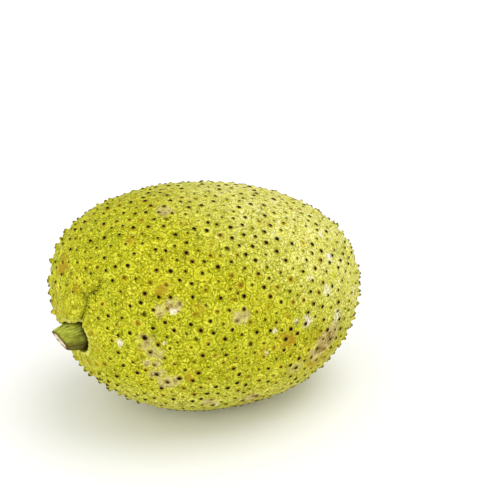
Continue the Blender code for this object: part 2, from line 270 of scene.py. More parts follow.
def spiral_florets():
    """Directions spread evenly over the body along a golden-angle spiral, each strayed a little."""
    stations = np.linspace(-1.0, 1.0, SPIRAL_STATIONS)
    girth = (1.0 - np.abs(stations) ** SQUARENESS) ** (1.0 / SQUARENESS) * HALF_SIZE[1]
    slant = np.hypot(np.diff(stations * HALF_SIZE[0]), np.diff(girth))
    area = np.concatenate([[0.0], np.cumsum(slant * (girth[1:] + girth[:-1]) * math.pi)])
    number = np.arange(FLORETS) + 0.5
    share = np.interp(number / FLORETS * area[-1], area, stations)
    radius = np.interp(share, stations, girth)
    turn = number * GOLDEN_ANGLE
    spots = np.stack([share * HALF_SIZE[0], radius * np.cos(turn), radius * np.sin(turn)], axis=1)
    spacing = math.sqrt(area[-1] / FLORETS)
    spots += np.random.default_rng(SEED).normal(0.0, SCATTER * spacing / math.sqrt(3.0), spots.shape)
    return unit(spots)


def ring_points(rings):
    """Points on rings round the stem's axis, each given as (radius, how many), as (side, up)."""
    circles = []
    for radius, count in rings:
        turn = np.arange(count) * math.tau / count
        circles.append(np.stack([np.cos(turn), np.sin(turn)], axis=1) * radius)
    return np.concatenate(circles)


def directions_across(wanted):
    """Directions of the oval's points that lie at these places, (side, up), across the recess."""
    directions = np.repeat(RECESS_DIRECTION[None, :], len(wanted), axis=0)
    for _ in range(RING_ROUNDS):
        points = oval(directions)
        missing = wanted - np.stack(across_recess(points), axis=1)
        size = np.linalg.norm(points, axis=1, keepdims=True)
        directions = unit(directions * size + missing[:, :1] * RECESS_SIDE + missing[:, 1:] * RECESS_UP)
    return directions


def opposite_angle(face, edge):
    corner = next(vert for vert in face.verts if vert not in edge.verts)
    first, second = (vert.co - corner.co for vert in edge.verts)
    return first.angle(second)


def turn_long_edges(mesh):
    """Turns each edge that a shorter one could replace, until the triangles are as round as they can be."""
    turned = True
    while turned:
        turned = False
        for edge in list(mesh.edges):
            if not edge.is_valid:
                continue
            angles = sum(opposite_angle(face, edge) for face in edge.link_faces)
            if angles > math.pi + EVEN_TURN:
                turned |= bmesh.utils.edge_rotate(edge) is not None


def neighbour_mesh(directions):
    """A closed mesh of triangles that joins neighbouring points of the oval."""
    mesh = bmesh.new()
    for direction in directions:
        mesh.verts.new(direction)
    mesh.verts.ensure_lookup_table()
    mesh.verts.index_update()
    bmesh.ops.convex_hull(mesh, input=mesh.verts)
    for vert, point in zip(mesh.verts, oval(directions)):
        vert.co = point
    turn_long_edges(mesh)
    mesh.faces.index_update()
    mesh.faces.ensure_lookup_table()
    return mesh


def settle(directions, is_free):
    """Moves each free floret part of the way to the middle of its neighbours, so that none are crowded."""
    for _ in range(SETTLE_ROUNDS):
        mesh = neighbour_mesh(directions)
        moved = directions.copy()
        for vert in mesh.verts:
            if is_free[vert.index]:
                around = [edge.other_vert(vert).index for edge in vert.link_edges]
                moved[vert.index] += directions[around].mean(axis=0)
        mesh.free()
        directions = unit(moved)
    return directions


def skin_directions():
    """(directions of all the skin's points, which of them are florets): florets first, then the recess."""
    florets = spiral_florets()
    florets = florets[from_stem(oval(florets)) > FLORET_RADIUS]
    bare = directions_across(ring_points([(radius, RECESS_SIDES) for radius in RECESS_RINGS]))
    is_floret = np.arange(len(florets) + len(bare)) < len(florets)
    return settle(np.concatenate([florets, bare]), is_floret), is_floret


def bump_heights(directions, is_floret):
    """(heights, which are spikes): higher towards the ends, uneven, and fading out towards the recess."""
    draw = np.random.default_rng(SEED)
    points = oval(directions)
    ends = smooth_step(*SPIKES_GROW_OUT, np.abs(points[:, 0]) / HALF_SIZE[0])
    height = SPIKE_HEIGHT_BELLY + (SPIKE_HEIGHT_ENDS - SPIKE_HEIGHT_BELLY) * ends
    height *= np.clip(draw.normal(1.0, SPIKE_HEIGHT_SPREAD, len(points)), *LEAST_AND_MOST)
    height *= is_floret * smooth_step(*BUMPS_FADE, from_stem(points))
    is_spike = (draw.uniform(size=len(points)) < SPIKE_SHARE) & (height > LEAST_SPIKE)
    is_spike &= points[:, 2] > points[:, 2].min() + PRESSED_FLAT
    return np.where(is_spike, height, LOW_HEIGHT * height), is_spike


# ---- the fine skin ----


def crease_pieces():
    """The straight pieces of the creases, as (start, end)."""
    for line in CREASES:
        corners = np.array(line) * MM
        yield from zip(corners, corners[1:])


def crease_sides():
    """Pairs of points on both sides of each crease, which leave a seam between them along it."""
    rows = []
    for start, end in crease_pieces():
        along = end - start
        steps = max(1, round(np.linalg.norm(along) / CREASE_STEP))
        across = np.array([-along[1], along[0]]) / np.linalg.norm(along) * CREASE_APART
        middles = start + along * ((np.arange(steps) + 0.5) / steps)[:, None]
        rows += [middles + across, middles - across]
    return np.concatenate(rows)


def with_more(directions, more):
    """The directions and those of more that aren't too close to another."""
    for direction in more:
        if np.linalg.norm(directions - direction, axis=1).min() > LEAST_APART:
            directions = np.vstack([directions, direction])
    return directions


def to_crease(directions):
    """The way from each point of the skin to the nearest crease, as (side, up) across the recess."""
    places = oval(directions)
    across = np.stack(across_recess(places), axis=1)
    near_end = from_stem(places) < HALF_SIZE[0]
    shortest = np.full(across.shape, HALF_SIZE[0])
    for start, end in crease_pieces():
        along = end - start
        share = np.clip((across - start) @ along / (along @ along), 0.0, 1.0)
        way = start + share[:, None] * along - across
        closer = near_end & (np.linalg.norm(way, axis=1) < np.linalg.norm(shortest, axis=1))
        shortest = np.where(closer[:, None], way, shortest)
    return shortest


def onto_creases(seams):
    """(the seams' points, with those near a crease moved onto it, and which these are)."""
    ways = to_crease(seams)
    is_near = np.linalg.norm(ways, axis=1) < CREASE_WIDTH
    places = np.stack(across_recess(oval(seams[is_near])), axis=1) + CREASE_SNAP * ways[is_near]
    seams[is_near] = directions_across(places)
    return seams, is_near


def seam_points(mesh, directions, draw):
    """(directions of the seams' points, number of each edge's point); the faces' points come first, in order.

    Three florets meet at the middle of each face of the neighbour mesh, and the seam between two of them
    crosses the edge that joins them, where it has one more point that strays a little to a side.
    """
    corners = np.array([[vert.index for vert in face.verts] for face in mesh.faces])
    middles = unit(directions[corners].sum(axis=1))
    crossings, of_edge = [], {}
    for edge in mesh.edges:
        one, other = (middles[face.index] for face in edge.link_faces)
        sideways = np.cross(one - other, one + other) / 2.0
        crossings.append(unit(one + other + 2.0 * draw.normal(0.0, SEAM_WAVER) * sideways))
        of_edge[edge.index] = len(middles) + len(crossings) - 1
    return np.concatenate([middles, np.array(crossings)]), of_edge


def faces_round(vert):
    """The faces round a vertex of a closed mesh, in order."""
    ring, loop = [], vert.link_loops[0]
    while not ring or loop != vert.link_loops[0]:
        ring.append(loop.face)
        loop = loop.link_loop_prev.link_loop_radial_next
    return ring


def seam_loop(vert, of_edge):
    """Numbers of the seam points round a floret, in order."""
    loop = []
    ring = faces_round(vert)
    for face, following in zip(ring, ring[1:] + ring[:1]):
        shared = next(edge for edge in face.edges if following in edge.link_faces and vert in edge.verts)
        loop += [face.index, of_edge[shared.index]]
    return loop


def band(outer, inner):
    """Faces between two rings that have as many points each."""
    return [(outer[side - 1], outer[side], inner[side], inner[side - 1]) for side in range(len(outer))]


def fan(ring, centre):
    """Faces that close a ring over the point in its middle."""
    return [(ring[side - 1], ring[side], centre) for side in range(len(ring))]


class Skin:
    """Collects the fine skin's points and faces.

    A point is its direction, its rise over the body, its share of the way across its floret, from 0 in the
    middle to 1 in the seam, its distance from the floret's tip, and the floret's number, -1 on a seam.
    """

    def __init__(self, seams):
        self.points = [(seam, -VALLEY_DEPTH, 1.0, NO_TIP, -1) for seam in seams]
        self.faces = []

    def add(self, *point):
        self.points.append(point)
        return len(self.points) - 1

    def add_patch(self, floret, centre, loop, offsets, rings, peak):
        """The skin inside a seam, as rings of (shares of the way to it, rise, distance from the tip)."""
        ring = loop
        for shares, rise, from_tip in rings:
            shares = np.broadcast_to(shares, len(loop))
            from_tip = np.broadcast_to(from_tip, len(loop))
            inner = [
                self.add(unit(centre + share * offset), rise, share, distance, floret)
                for share, offset, distance in zip(shares, offsets, from_tip)
            ]
            self.faces += band(ring, inner)
            ring = inner
        self.faces += fan(ring, self.add(centre, *peak, floret))


def floret_rings(lengths, size, height):
    """A floret's rings: the edge of its dome, then the foot, flank and tip of its nub."""
    yield DOME_EDGE, 0.0, DOME_EDGE * lengths * size
    for radius, share in NUB_RINGS:
        across = np.minimum(radius / size / lengths, NUB_MOST)
        yield across, share * height, math.hypot(radius, (1.0 - share) * height)


def wrinkles(directions, draw):
    """Height of the fine folds that run out from the stem over the shoulder."""
    points = oval(directions)
    side, up = across_recess(points)
    turn = np.arctan2(up, side)
    radius = from_stem(points)
    near = 1.0 - smooth_step(*WRINKLES_FADE, radius)
    near *= smooth_step(RECESS_FLOOR_RADIUS, RECESS_MOUTH_RADIUS, radius)
    waver = sum(np.sin(turn * waves + draw.uniform(0.0, math.tau)) for waves in WRINKLE_WAVERS)
    return WRINKLE_HEIGHT * near * np.sin(WRINKLES * turn + waver)


def skin_middles():
    """(the middles of the florets, then of the bare patches, and the CAD's tips on them).

    To the CAD's own middles come a few more bare ones, on the recess's floor and beside the creases.
    """
    directions, is_floret = skin_directions()
    heights, is_spike = bump_heights(directions, is_floret)
    tips = body(directions) + outward(directions) * heights[:, None]
    more = directions_across(np.concatenate([ring_points(FLOOR_RINGS), crease_sides()]))
    directions = with_more(directions, more)
    added = (0, len(directions) - len(heights))
    middles = {
        "directions": directions,
        "heights": np.pad(heights, added),
        "is_floret": np.pad(is_floret, added),
        "is_spike": np.pad(is_spike, added),
    }
    return middles, tips


def cover(middles, draw):
    """(a skin of florets and bare patches round these middles, 1 for each of its points on a crease)."""
    directions = middles["directions"]
    sizes = np.linalg.norm(body(directions), axis=1)
    mesh = neighbour_mesh(directions)
    mesh.edges.index_update()
    seams, of_edge = seam_points(mesh, directions, draw)
    seams, is_crease = onto_creases(seams)
    skin = Skin(seams)
    for vert in mesh.verts:
        here = vert.index
        loop = seam_loop(vert, of_edge)
        offsets = seams[loop] - directions[here]
        height = middles["heights"][here]
        if middles["is_floret"][here]:
            rings = floret_rings(np.linalg.norm(offsets, axis=1), sizes[here], height)
            peak = (height, 0.0, 0.0)
        else:
            rings = [(share, 0.0, NO_TIP) for share in BARE_RINGS]
            peak = (0.0, 0.0, NO_TIP)
        skin.add_patch(here, directions[here], loop, offsets, rings, peak)
    mesh.free()
    return skin, np.pad(is_crease.astype(float), (0, len(skin.points) - len(seams)))


def make_skin():
    """The fine skin round the body's middle, with the CAD's tips and what its painting goes by."""
    draw = np.random.default_rng(SEED + 1)
    middles, tips = skin_middles()
    skin, crease = cover(middles, draw)
    directions, rise, across, from_tip, floret = (np.array(column) for column in zip(*skin.points))
    places = oval(directions)
    formed = smooth_step(*BUMPS_FADE, from_stem(places))
    rise = np.where(rise < 0.0, rise * formed, rise) + wrinkles(directions, draw)
    rise -= CREASE_DEPTH * crease
    # Painted shade along the creases, fading out from them.
    crease_shade = 1.0 - smooth_step(0.0, CREASE_SHADE_REACH, np.linalg.norm(to_crease(directions), axis=1))
    return middles | {
        "points": body(directions) + outward(directions) * rise[:, None],
        "faces": skin.faces,
        "tips": tips,
        "places": places,
        "floret": floret,
        "across": across,
        "from_tip": from_tip,
        "formed": formed,
        "crease": crease,
        "crease_shade": crease_shade,
    }


# ---- what is only colour on the skin ----

# Dark tips of spikes and middles of low florets, with their radii in mm, as the shader reads them.
SPOT_RADIUS = 0.80
LOW_SPOT_RADIUS = 0.55
NO_SPOT = -1.0
SPOT_SPREAD = 0.36
PALE_TIPS = 0.08  # share of spikes whose tip is only brown
PALE_TIP_DARKNESS = (0.3, 0.85)  # least and most, for those and for low florets
RUSTY_SPIKES = 0.28  # share of spikes with a rusty ring round the tip
RUSTY_LOWS = 0.7  # share of low florets with a rusty middle
RUST_STRENGTH = (0.2, 0.8)
TIPS_DARKEN = (15.0 * MM, 36.0 * MM)  # distances from the stem between which the tips grow dark

# Distances from the stem's axis: where the dark of the recess, its corky scar and painted shade, ends, of the
# painted highlight along the edge of its mouth, and between which the lines of the shoulder fade out.
DARK_ENDS = (RECESS_FLOOR_RADIUS, 12.6 * MM)
MOUTH_EDGE = 13.0 * MM
MOUTH_HIGHLIGHT_WIDTH = 0.9 * MM
SHOULDER_LINES_FADE = (12.0 * MM, 30.0 * MM)

# A painted sheen makes the skin paler towards its top and its far end, the side the light falls on.
SHEEN_TOWARDS = np.array([0.78, 0.0, 0.62]) / HALF_SIZE
SHEEN_FROM = (0.22, 0.78)
# Painted light from below pales its underside too, from and to these shares of the way down from its middle.
UNDERLIGHT_FROM = (0.20, 0.80)
UNDERLIGHT_STRENGTH = 0.45

# Marks on the skin: their direction from the middle, radius in mm and strength.
SCUFFS = (
    (-0.73, -0.68, 0.01, 5.5, 1.1),
    (-0.70, -0.71, -0.06, 5.5, 1.1),
    (-0.70, -0.70, -0.14, 5.0, 1.0),
    (-0.68, -0.70, -0.22, 5.0, 0.9),
    (-0.63, -0.72, -0.29, 5.5, 1.0),
    (-0.58, -0.77, -0.28, 4.0, 0.8),
    (0.66, -0.74, -0.14, 7.0, 1.6),
    (0.57, -0.80, -0.20, 7.0, 1.3),
    (0.36, -0.88, -0.31, 6.0, 0.8),
    (-0.14, -0.96, 0.24, 5.0, 1.0),
    (-0.48, -0.24, 0.85, 5.0, 1.0),
    (-0.65, -0.72, 0.24, 3.6, 0.8),
    (-0.58, -0.76, 0.29, 4.0, 1.25),
    (-0.32, -0.75, -0.58, 5.0, 1.0),
    (0.04, -0.80, -0.60, 7.0, 0.6),
    (0.80, 0.50, 0.30, 8.0, 0.9),
    (-0.30, 0.90, 0.30, 9.0, 0.9),
    (0.20, 0.70, 0.68, 6.0, 0.8),
    (0.93, -0.10, -0.34, 8.0, 0.8),
)
CHALK = (
    (-0.835, -0.55, -0.03, 2.3, 1.6),
    (-0.65, -0.76, 0.02, 1.5, 1.2),
    (-0.59, -0.77, 0.25, 2.0, 1.4),
    (-0.25, -0.73, -0.64, 2.4, 1.2),
    (0.69, -0.45, 0.58, 2.6, 1.1),
    (0.69, -0.58, 0.45, 3.2, 1.2),
    (0.50, -0.77, 0.40, 2.8, 1.0),
    (0.62, -0.74, 0.26, 5.0, 0.9),
    (0.45, -0.89, 0.09, 5.0, 1.0),
    (0.71, -0.71, 0.02, 5.5, 0.9),
    (0.34, -0.93, 0.12, 2.6, 0.9),
    (0.15, -0.98, 0.08, 2.0, 1.2),
    (0.08, -0.99, -0.09, 2.2, 0.9),
    (0.10, 0.85, -0.50, 4.0, 1.0),
    (-0.70, 0.60, 0.30, 4.0, 0.9),
)
TAN = (
    (-0.965, -0.06, 0.255, 6.0, 1.6),
    (-0.95, -0.25, 0.20, 3.5, 0.9),
    (-0.63, -0.68, 0.38, 4.5, 1.3),
    (0.27, -0.96, -0.02, 7.0, 1.1),
    (-0.75, -0.66, -0.06, 4.0, 0.9),
    (-0.44, -0.86, 0.28, 4.0, 0.9),
    (-0.50, -0.83, -0.25, 4.0, 0.9),
    (-0.73, -0.36, 0.58, 3.0, 1.0),
    (0.04, -0.996, -0.082, 4.0, 0.9),
    (0.58, -0.78, -0.22, 18.0, 0.9),
    (0.10, -0.70, -0.71, 16.0, 0.6),
    (0.50, 0.80, 0.20, 12.0, 0.7),
    (-0.50, 0.70, 0.50, 8.0, 0.8),
)


def marked(places, marks):
    """How strongly each place is marked: a soft round field for each mark."""
    total = np.zeros(len(places))
    for *direction, radius, strength in marks:
        middle = oval(unit(np.array([direction])))[0]
        distance = np.linalg.norm(places - middle, axis=1)
        total = np.maximum(total, strength * np.exp(-((distance / (radius * MM)) ** 2)))
    return total


def tip_values(skin):
    """What the skin's material reads about each point's own floret: its tip and its shade."""
    draw = np.random.default_rng(SEED + 2)
    count = len(skin["is_spike"])
    shade = draw.normal(0.0, 1.0, count)
    spread = np.clip(draw.normal(1.0, SPOT_SPREAD, count), *LEAST_AND_MOST)
    is_dark = skin["is_spike"] & (draw.uniform(size=count) > PALE_TIPS)
    spot = spread * np.where(skin["is_spike"], SPOT_RADIUS, LOW_SPOT_RADIUS)
    spot = np.where(skin["is_floret"], spot, NO_SPOT)
    darkness = np.where(is_dark, 1.0, draw.uniform(*PALE_TIP_DARKNESS, count))
    is_rusty = draw.uniform(size=count) < np.where(skin["is_spike"], RUSTY_SPIKES, RUSTY_LOWS)
    rust = is_rusty * draw.uniform(*RUST_STRENGTH, count)
    darkens = smooth_step(*TIPS_DARKEN, from_stem(skin["places"]))

    def own(values, on_seam=0.0):
        return np.where(skin["floret"] >= 0, values[skin["floret"]], on_seam)

    return {
        "from_tip": skin["from_tip"] / MM,
        "spot_radius": own(spot, NO_SPOT),
        "darkness": own(darkness) * darkens,
        "rust": own(rust),
        "shade": own(shade),
    }


def place_values(skin):
    """What the skin's material reads about each point's place on the fruit."""
    places = skin["places"]
    radius = from_stem(places)
    side, up = across_recess(places)
    turn = np.arctan2(up, side)
    # Painted light: from below on the underside, and a painted sheen towards the top and the far end.
    painted_underlight = UNDERLIGHT_STRENGTH * smooth_step(*UNDERLIGHT_FROM, -places[:, 2] / HALF_SIZE[2])
    same = {name: skin[name] for name in ("across", "formed", "crease", "crease_shade")}
    return same | {
        "painted_light": np.maximum(smooth_step(*SHEEN_FROM, places @ SHEEN_TOWARDS), painted_underlight),
        # Where the recess's wall is painted dark: its corky scar and painted shade.
        "inside": 1.0 - smooth_step(*DARK_ENDS, radius),
        # Painted highlight along the edge of the recess's mouth.
        "mouth": np.exp(-(((radius - MOUTH_EDGE) / MOUTH_HIGHLIGHT_WIDTH) ** 2)),
        "shoulder": 1.0 - smooth_step(*SHOULDER_LINES_FADE, radius),
        "turn_x": np.cos(turn),
        "turn_y": np.sin(turn),
        "scuff": marked(places, SCUFFS),
        "chalk": marked(places, CHALK),
        "tan": marked(places, TAN),
    }


# ---- materials ----


class Paint:
    """A new material, with short calls for its nodes.

    A value may be a number, a node's output, or the name of a value that the mesh stores at its points.
    """

    def __init__(self, name):
        self.material = bpy.data.materials.new(name)
        self.material.use_nodes = True
        self.tree = self.material.node_tree
        self.coords = self.node("ShaderNodeTexCoord", "Object", {})

    def set(self, socket, value):
        if isinstance(value, str):
            value = self.node("ShaderNodeAttribute", "Fac", {}, attribute_name=value)
        if isinstance(value, bpy.types.NodeSocket):
            self.tree.links.new(value, socket)
        else:
            socket.default_value = value

    def node(self, kind, output, values, **settings):
        """One output of a new node; the values are those of its inputs, by name or number."""
        node = self.tree.nodes.new(kind)
        for name, setting in settings.items():
            setattr(node, name, setting)
        for key, value in values.items():
            self.set(node.inputs[key], value)
        return node.outputs[output]

    def surface(self, values):
        """The material, with these values of its surface."""
        for name, value in values.items():
            self.set(self.tree.nodes["Principled BSDF"].inputs[name], value)
        return self.material

    def maths(self, operation, *values):
        return self.node("ShaderNodeMath", "Value", dict(enumerate(values)), operation=operation)

    def smooth(self, value, low, high, start=0.0, end=1.0):
        """From start, where value is at low, to end, where it is at high; low may be the larger one."""
        values = {"Value": value, "From Min": low, "From Max": high, "To Min": start, "To Max": end}
        return self.node("ShaderNodeMapRange", "Result", values, interpolation_type="SMOOTHSTEP")

    def product(self, *factors):
        """The product of values, each given as it is or as what `smooth` takes."""
        first, *others = (self.smooth(*one) if isinstance(one, tuple) else one for one in factors)
        for other in others:
            first = self.maths("MULTIPLY", first, other)
        return first

    def mix(self, share, low, high):
        """From colour low to colour high; the numbers are those of the node's colour sockets."""
        return self.node("ShaderNodeMix", 2, {0: share, 6: low, 7: high}, data_type="RGBA")

    def lay(self, base, *layers):
        """The base under these layers: (colour, and the factors of how much of it there is)."""
        for tint, *factors in layers:
            base = self.mix(self.product(*factors), base, tint)
        return base

    def noise(self, size, detail=2.0, roughness=0.5, coords=None, distortion=0.0):
        """Soft noise from 0 to 1, whose largest features are about this size."""
        values = {"Scale": 1.0 / size, "Detail": detail, "Roughness": roughness, "Distortion": distortion}
        values["Vector"] = self.coords if coords is None else coords
        return self.node("ShaderNodeTexNoise", "Fac", values)

    def lines(self, noise, strength=1.0):
        """Thin lines where the noise crosses its middle: this strength on a line, and 0 beside it."""
        off = self.maths("ABSOLUTE", self.maths("SUBTRACT", noise, 0.5))
        return self.smooth(off, LINE_WIDTH, 0.0, 0.0, strength)

    def round_stem(self, rate, along=0.0):
        """Coordinates that change at this rate round the stem, for lines that run along it or out from it."""
        across = [self.product(name, rate) for name in ("turn_x", "turn_y")]
        return self.node("ShaderNodeCombineXYZ", "Vector", dict(enumerate([*across, along])))

    def bump(self, height, distance, **below):
        """A finer relief of this height, on top of another, given as Normal, if there is one."""
        return self.node("ShaderNodeBump", "Normal", {"Height": height, "Distance": distance} | below)


# Sizes of the noises, from the broadest to the finest.
BROAD = 60.0 * MM
PATCH = 16.0 * MM
DARK_LINES = 7.0 * MM
LIGHT_LINES = 5.0 * MM
MOTTLE = 4.0 * MM
STEM_MOTTLE = 3.0 * MM
RELIEF = 1.6 * MM
SPECKLE = 1.2 * MM
GRAIN = 0.7 * MM
LINE_WIDTH = 0.030  # how far the noise is from its middle at the sides of a line
LINE_WAVER = 0.6  # distortion of the noise of the winding lines
SHOULDER_LINES = 12.0  # rate at which the lines change round the stem
FIBRES_ROUND = 9.0
FIBRES_ALONG = 0.12  # rate for each mm
BROWN_FIBRES = 2.2  # size of the brown ones, as a share of the others'

# Round a tip, in mm from its spot's edge: (where it is gone, where it is full).
SPOT_EDGE = (0.2, -0.15)
FLANK_EDGE = (1.25, 0.0)
RUST_EDGE = (2.0, 0.1)
RING_INSIDE = (0.7, 1.1)
RING_OUTSIDE = (2.0, 1.4)

# Heights of the relief that is only shaded, and how glossy and rough the surfaces are.
RELIEF_HEIGHT = 0.2 * MM
SHOULDER_RELIEF_HEIGHT = 1.0 * MM
FIBRE_RELIEF_HEIGHT = 0.7 * MM
BARK_RELIEF_HEIGHT = 0.4 * MM
SKIN_GLOSS = 0.04
SPOT_GLOSS = 0.02
SCUFF_ROUGHNESS = 0.8
STEM_GLOSS = 0.15

GREENER_SKIN = colour(154, 157, 2)
YELLOWER_SKIN = colour(162, 158, 3)
RIPER_SKIN = colour(176, 168, 8)
# Laid as a painted sheen on top and at the far end, and as painted light from below on the underside.
PAINTED_LIGHT_SKIN = colour(218, 213, 64)
LIGHT_FLORET = colour(192, 190, 24)
DARK_FLORET = colour(132, 142, 4)
LIGHT_MOTTLE = colour(194, 191, 26)
DARK_MOTTLE = colour(126, 132, 4)
LIGHT_GRAIN_AND_GLINT = (colour(234, 232, 76), colour(251, 249, 196))  # on plain skin, and under the painted sheen, where they are painted glints
DARK_GRAIN = (colour(84, 88, 0), colour(104, 94, 4))
DARK_SHOULDER_LINE = colour(134, 124, 8)
LIGHT_SHOULDER_LINE = colour(228, 223, 90)
# Painted highlight along the edge of the recess's mouth.
MOUTH_HIGHLIGHT = colour(232, 228, 124)
TAN_SKIN = colour(162, 126, 26)
PALE_SCUFF = colour(198, 186, 118)
BROWN_SCUFF = colour(142, 114, 54)
DRY_SCUFF = colour(222, 212, 166)
WORN_SCUFF = colour(120, 90, 42)
CHALK_WHITE = colour(234, 226, 206)
RUST = colour(158, 100, 20)
RUST_ON_SCUFF = colour(96, 66, 30)
TIP_FLANK = colour(92, 80, 12)
TIP_BLACK = colour(18, 12, 7)
# Painted shade beside the creases, painted shadow in them, and the recess's wall: its corky scar and painted
# shade.
PAINTED_CREASE_SHADE = colour(128, 128, 16)
CREASE_SHADOW = colour(52, 50, 10)
RECESS_SCAR_AND_SHADE = colour(54, 42, 14)

# The bark's upper side is a lit copy and its lower side a darker, browner one, as painted light and shade.
SHADED_LOWER_BARK = (colour(58, 58, 6), colour(112, 110, 30))  # between its fibres, and on them
LIT_UPPER_BARK = (colour(134, 144, 27), colour(196, 206, 82))
BROWN_BARK = colour(104, 82, 22)
BROWN_FIBRE = colour(84, 58, 18)
# Painted shade towards the stem's foot, and a near-black painted shadow deep in the recess.
SHADED_BARK = colour(62, 54, 14)
BARK_IN_RECESS_SHADOW = colour(28, 22, 8)
CUT_BARK = colour(88, 60, 24)
FRESH_CUT = colour(232, 222, 190)
DRIED_CUT = colour(206, 182, 136)
CUT_SPECK = colour(132, 66, 34)
CUT_EDGE = colour(104, 66, 28)

FLOOR_COLOUR = (0.92, 0.92, 0.92, 1.0)
FLOOR_ROUGHNESS = 0.9


class SkinPaint(Paint):
    """The fruit's skin. Most calls lay one layer over the colour so far, and return the new colour."""

    def __init__(self):
        super().__init__("breadfruit_skin")
        self.patch = self.noise(PATCH, 4.0, 0.6)
        self.mottle = self.noise(MOTTLE, 4.0, 0.65)
        self.speckle = self.noise(SPECKLE)
        self.grain = self.noise(GRAIN, 2.0, 0.6)
        # Where the painted sheen and painted light from below are, broken up by patches; the grains turn
        # paler there, the light ones into painted glints.
        self.painted_light = self.product("painted_light", (self.patch, 0.25, 0.7, 0.6, 1.1))
        self.light = self.mix(self.painted_light, *LIGHT_GRAIN_AND_GLINT)
        self.dark = self.mix(self.painted_light, *DARK_GRAIN)
        self.folds = self.noise(1.0, 3.0, 0.6, self.round_stem(SHOULDER_LINES))
        tan = self.product("tan", (self.mottle, 0.35, 0.65, 0.3, 1.3))
        self.tan = self.smooth(tan, 0.1, 1.1, 0.0, 0.85)
        scuff = self.product("scuff", (self.patch, 0.35, 0.60, 0.6, 1.3), (self.mottle, 0.35, 0.55, 0.5, 1.2))
        self.scuff = self.smooth(scuff, 0.12, 0.7, 0.0, 0.85)
        from_tip = self.maths("ADD", "from_tip", self.smooth(self.grain, 0.2, 0.8, -0.3, 0.3))
        self.past_spot = self.maths("SUBTRACT", from_tip, "spot_radius")
        self.spot = self.product((self.past_spot, *SPOT_EDGE), "darkness")

    def ground(self):
        """Olive yellow in patches, uneven between florets; painted light on top, at the far end and below."""
        return self.lay(
            GREENER_SKIN,
            (YELLOWER_SKIN, (self.noise(BROAD), 0.35, 0.65)),
            (RIPER_SKIN, (self.patch, 0.4, 0.75, 0.0, 0.6)),
            (PAINTED_LIGHT_SKIN, self.painted_light),
            (LIGHT_FLORET, ("shade", 0.0, 2.0, 0.0, 0.35)),
            (DARK_FLORET, ("shade", 0.0, -2.0, 0.0, 0.35)),
            (DARK_MOTTLE, (self.mottle, 0.50, 0.70, 0.0, 0.25)),
            (LIGHT_MOTTLE, (self.mottle, 0.50, 0.34, 0.0, 0.32)),
        )

    def grains(self, base):
        """Light and dark grains of two sizes, the larger ones stronger in some patches."""
        strength = self.smooth(self.patch, 0.35, 0.62, 0.5, 0.8)
        return self.lay(
            base,
            (self.light, strength, (self.speckle, 0.57, 0.66)),
            (self.dark, strength, (self.speckle, 0.43, 0.34)),
            (self.light, (self.grain, 0.58, 0.66, 0.0, 0.6)),
            (self.dark, (self.grain, 0.42, 0.34, 0.0, 0.6)),
        )

    def winding_lines(self, base):
        """Thin dark and light lines, broken up by the finer noises."""
        dark = self.lines(self.noise(DARK_LINES, distortion=LINE_WAVER))
        light = self.lines(self.noise(LIGHT_LINES, distortion=LINE_WAVER))
        return self.lay(
            base,
            (self.dark, dark, (self.mottle, 0.40, 0.55, 0.25, 0.65)),
            (self.light, light, (self.speckle, 0.38, 0.55, 0.15, 0.7)),
        )

    def shoulder_lines(self, base):
        """Lines running out from the stem over the shoulder, and a painted highlight on the recess's rim."""
        return self.lay(
            base,
            (DARK_SHOULDER_LINE, (self.folds, 0.5, 0.66, 0.0, 0.7), "shoulder"),
            (LIGHT_SHOULDER_LINE, (self.folds, 0.5, 0.36, 0.0, 0.6), "shoulder"),
            (MOUTH_HIGHLIGHT, "mouth", (self.mottle, 0.35, 0.6, 0.1, 0.7)),
        )

    def seams(self, base):
        """The light rim of each floret, and the dark seam between it and the next."""
        rim = self.product(
            ("across", 0.60, 0.76),
            ("across", 0.96, 0.84),
            "formed",
            (self.mottle, 0.58, 0.42, 0.35, 0.85),
            (self.speckle, 0.40, 0.58, 0.1, 0.5),
        )
        seam = self.product(
            ("across", 0.88, 1.0),
            (self.patch, 0.38, 0.60, 0.25, 0.6),
            (self.speckle, 0.36, 0.56, 0.35, 1.1),
            "formed",
        )
        return self.lay(base, (self.light, rim), (self.dark, seam))

    def marks(self, base):
        """Tan patches, scuffs that are dry in spots and brown where they are worn most, and chalky spots."""
        worn = self.product("scuff", (self.speckle, 0.40, 0.58, 0.55, 1.15))
        scuffed = self.lay(
            PALE_SCUFF,
            (BROWN_SCUFF, (self.mottle, 0.47, 0.64)),
            (DRY_SCUFF, (self.speckle, 0.52, 0.62, 0.0, 0.6)),
            (WORN_SCUFF, (worn, 0.75, 1.3)),
        )
        chalk = self.product("chalk", (self.mottle, 0.3, 0.6, 0.4, 1.3), (self.speckle, 0.4, 0.55, 0.5, 1.15))
        chalk = self.smooth(chalk, 0.2, 1.25, 0.0, 0.9)
        return self.lay(base, (TAN_SKIN, self.tan), (scuffed, self.scuff), (CHALK_WHITE, chalk))

    def round_tips(self, base):
        """A light ring, a rusty one and the brownish flank round the tips."""
        past = self.past_spot
        marked = self.product(self.maths("MAXIMUM", self.tan, self.scuff), 0.9)
        rust = self.maths("MAXIMUM", "rust", marked)
        rust_colour = self.mix(self.scuff, RUST, RUST_ON_SCUFF)
        return self.lay(
            base,
            (self.light, (past, *RING_INSIDE), (past, *RING_OUTSIDE), ("shade", -0.5, 2.0, 0.0, 0.4)),
            (rust_colour, (past, *RUST_EDGE), rust, (self.speckle, 0.35, 0.6, 0.4, 1.0)),
            (TIP_FLANK, (past, *FLANK_EDGE, 0.0, 0.75), "darkness"),
        )

